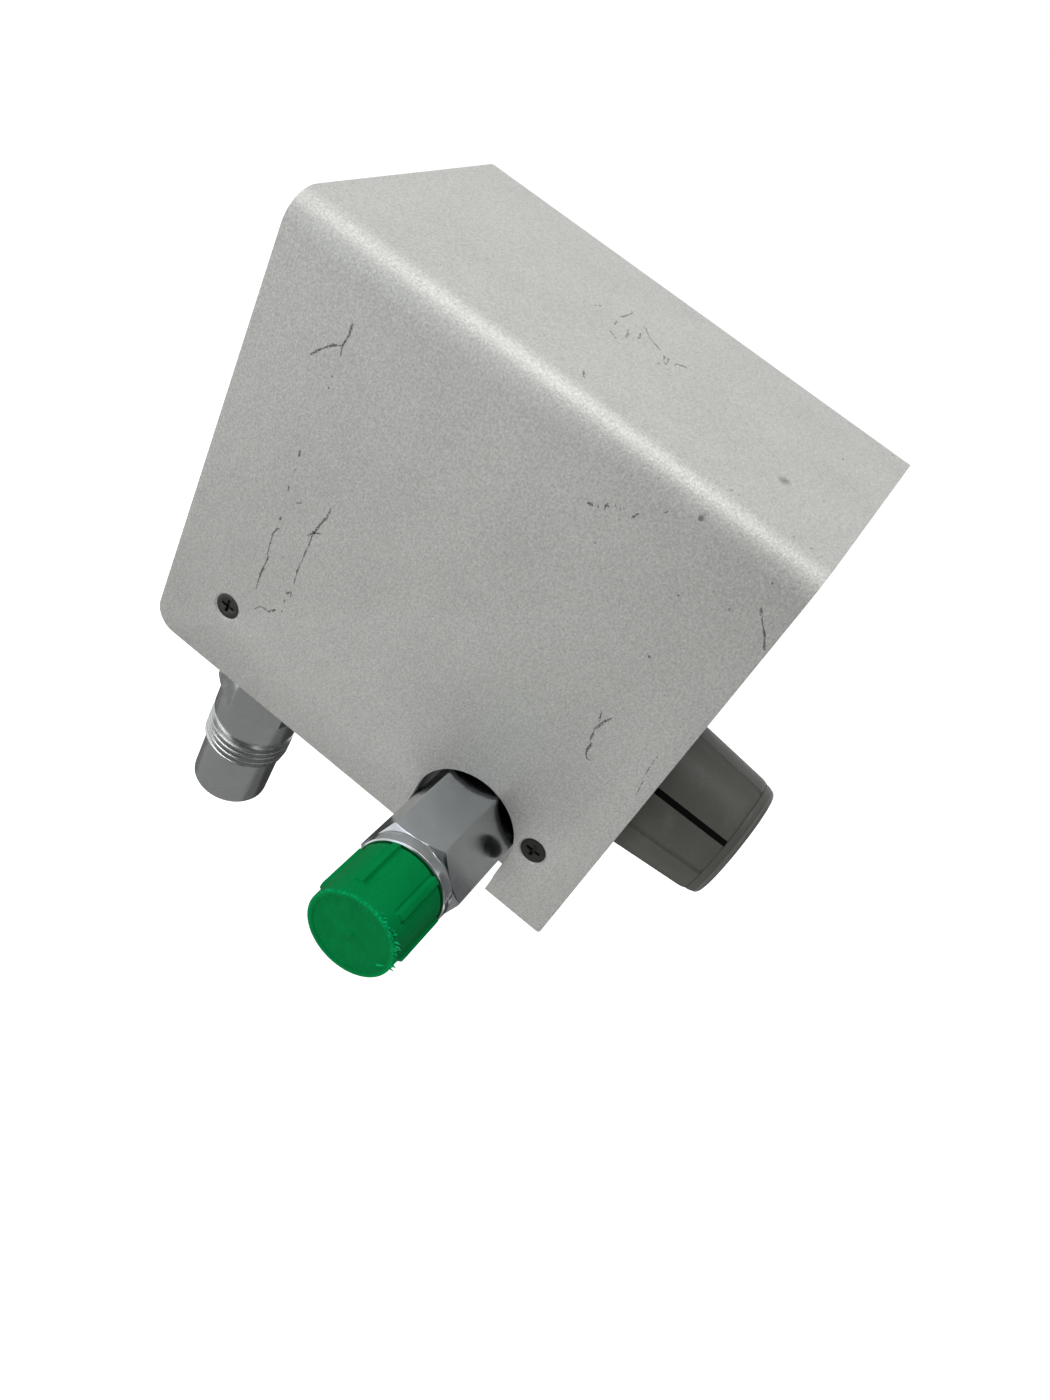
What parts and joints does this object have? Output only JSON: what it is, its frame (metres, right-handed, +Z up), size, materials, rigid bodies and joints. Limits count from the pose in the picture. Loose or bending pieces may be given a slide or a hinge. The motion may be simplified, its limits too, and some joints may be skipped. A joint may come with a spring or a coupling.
{
  "type": "air oxygen blender",
  "caption": "Gas mixing box with a sheet metal cover, a proportioning knob on the front, a capped side outlet and two gas inlets below.",
  "frame": {"origin": "centre of the four mounting nuts, on the outer face of the back", "axes": "+Z up, +Y out of the back towards the wall, -Y towards the user and the knob, -X the side with the outlet"},
  "size_m": [0.1093, 0.125, 0.1343],
  "materials": {
    "cover_paint": "satin light grey powder coat with fine marks",
    "plate_paint": "satin light grey with a plain scale",
    "sheet_metal": "clear anodised sheet",
    "block_metal": "machined",
    "chrome_plate": "bright chrome plate on brass, lightly dulled",
    "knob_grey": "moulded, fine grain",
    "knob_cap_grey": "moulded, smooth",
    "pointer_black": "inlaid line",
    "cap_green": "moulded soft plastic",
    "screw_steel": "turned, dulled",
    "zinc_steel": "zinc plated",
    "valve_steel": "ground stainless steel",
    "spring_steel": "stainless spring wire",
    "brass": "turned",
    "poppet_plastic": "white moulded",
    "sinter_bronze": "porous sintered",
    "black_rubber": "moulded rubber"
  },
  "bodies": {
    "housing": {"cover": "cover_paint", "chassis": "sheet_metal", "dial_plate": "plate_paint", "cover_screws": "screw_steel", "cover_nuts": "zinc_steel", "mounting_nuts": "zinc_steel", "manifold_block": "block_metal", "manifold_screws": "zinc_steel", "outlet_fitting": "chrome_plate", "outlet_seal": "black_rubber", "outlet_spring": "spring_steel", "air_inlet_fitting": "chrome_plate", "air_inlet_filter": "sinter_bronze", "air_check_retainer": "brass", "air_check_spring": "spring_steel", "air_inlet_seal": "black_rubber", "oxygen_inlet_fitting": "chrome_plate", "oxygen_inlet_filter": "sinter_bronze", "oxygen_check_retainer": "brass", "oxygen_check_spring": "spring_steel", "oxygen_inlet_seal": "black_rubber", "panel_bushing": "brass", "bushing_nut": "zinc_steel", "stop_ring": "valve_steel", "proportioning_sleeve": "brass", "oxygen_seat": "brass", "air_seat": "brass", "sleeve_plug": "brass", "sleeve_seals": "black_rubber", "spool_guide_pin": "valve_steel", "spool_spring": "spring_steel", "balance_oxygen_housing": "block_metal", "balance_air_housing": "block_metal", "balance_diaphragm": "black_rubber", "balance_screws": "zinc_steel", "foot_screws": "zinc_steel", "balance_oxygen_spring": "spring_steel", "balance_air_spring": "spring_steel", "alarm_housing": "block_metal", "alarm_reed_plate": "brass", "alarm_spring": "spring_steel"},
    "knob": {"knob_body": "knob_grey", "knob_pointer": "pointer_black", "knob_cap": "knob_cap_grey", "knob_collet": "brass", "control_shaft": "valve_steel"},
    "mixing_spool": {"mixing_spool": "valve_steel"},
    "outlet_poppet": {"outlet_poppet": "brass"},
    "outlet_cap": {"outlet_cap": "cap_green"},
    "air_check_poppet": {"air_check_poppet": "poppet_plastic"},
    "oxygen_check_poppet": {"oxygen_check_poppet": "poppet_plastic"},
    "balance_spool": {"balance_spool": "valve_steel"},
    "alarm_poppet": {"alarm_poppet": "brass"}
  },
  "joints": [
    {"name": "knob_turn", "type": "hinge", "parent": "housing", "child": "knob", "pos_m": [0, -0.1042, -0.02695], "axis": [0, 1, 0], "range_deg": [-77, 193]},
    {"name": "mixing_slide", "type": "slide", "parent": "housing", "child": "mixing_spool", "axis": [0, 1, 0], "range_m": [-0.00086, 0.00215], "deforming": ["spool_spring"]},
    {"name": "outlet_check", "type": "slide", "parent": "housing", "child": "outlet_poppet", "axis": [1, 0, 0], "range_m": [0, 0.0025], "stiffness_N_per_m": 300, "springref_m": -0.004, "deforming": ["outlet_spring"]},
    {"name": "cap_pull", "type": "slide", "parent": "housing", "child": "outlet_cap", "axis": [-1, 0, 0], "range_m": [0, 0.03]},
    {"name": "air_check", "type": "slide", "parent": "housing", "child": "air_check_poppet", "axis": [0, 0, 1], "range_m": [0, 0.0015], "stiffness_N_per_m": 200, "springref_m": -0.003, "deforming": ["air_check_spring"]},
    {"name": "oxygen_check", "type": "slide", "parent": "housing", "child": "oxygen_check_poppet", "axis": [0, 0, 1], "range_m": [0, 0.0015], "stiffness_N_per_m": 200, "springref_m": -0.003, "deforming": ["oxygen_check_spring"]},
    {"name": "balance_slide", "type": "slide", "parent": "housing", "child": "balance_spool", "axis": [0, 1, 0], "range_m": [-0.0006, 0.0006], "stiffness_N_per_m": 400, "deforming": ["balance_oxygen_spring", "balance_air_spring", "balance_diaphragm"]},
    {"name": "alarm_slide", "type": "slide", "parent": "housing", "child": "alarm_poppet", "axis": [0, 0, 1], "range_m": [0, 0.003], "stiffness_N_per_m": 200, "springref_m": -0.003, "deforming": ["alarm_spring"]}
  ],
  "couplings": [
    {"joint": "mixing_slide", "follows": "knob_turn", "m_per_rad": 0.00063662}
  ]
}
